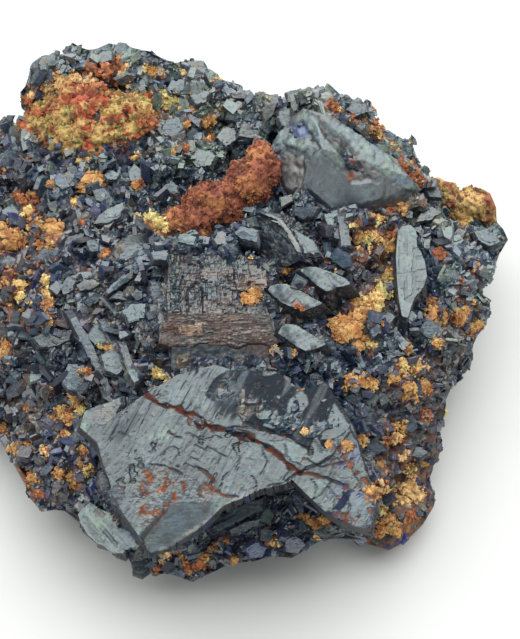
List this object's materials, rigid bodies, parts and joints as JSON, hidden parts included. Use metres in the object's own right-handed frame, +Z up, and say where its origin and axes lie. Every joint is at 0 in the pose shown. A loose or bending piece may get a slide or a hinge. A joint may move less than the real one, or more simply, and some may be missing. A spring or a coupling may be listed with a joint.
{
  "type": "azurite mineral specimen",
  "caption": "Azurite specimen: large dark blue tabular crystals in a crust of small ones with patches of limonite, sawn flat underneath to stand on a shelf.",
  "frame": {"origin": "on the sawn face, under the middle of the object's box", "axes": "+Z up, away from the sawn face; -Y to the side with the large slab crystal; +X to the right seen from that side"},
  "size_m": [0.084, 0.0874, 0.0351],
  "materials": {
    "azurite": "vitreous, dark blue-grey",
    "azurite_dark": "vitreous, near-black blue",
    "limonite_red": "earthy, red-brown",
    "limonite_tan": "earthy, ochre"
  },
  "bodies": {
    "root": {"matrix_base": "limonite_tan", "azurite_crust": "azurite_dark", "limonite_back": "limonite_tan", "limonite_ridge": "limonite_red", "limonite_rim": "limonite_tan", "slab_crystal": "azurite", "block_crystal": "azurite", "stepped_crystal": "azurite", "pointed_crystal": "azurite", "wedge_pair": "azurite", "front_wedge": "azurite", "blade_crystal": "azurite", "corner_crystal": "azurite"}
  },
  "joints": []
}
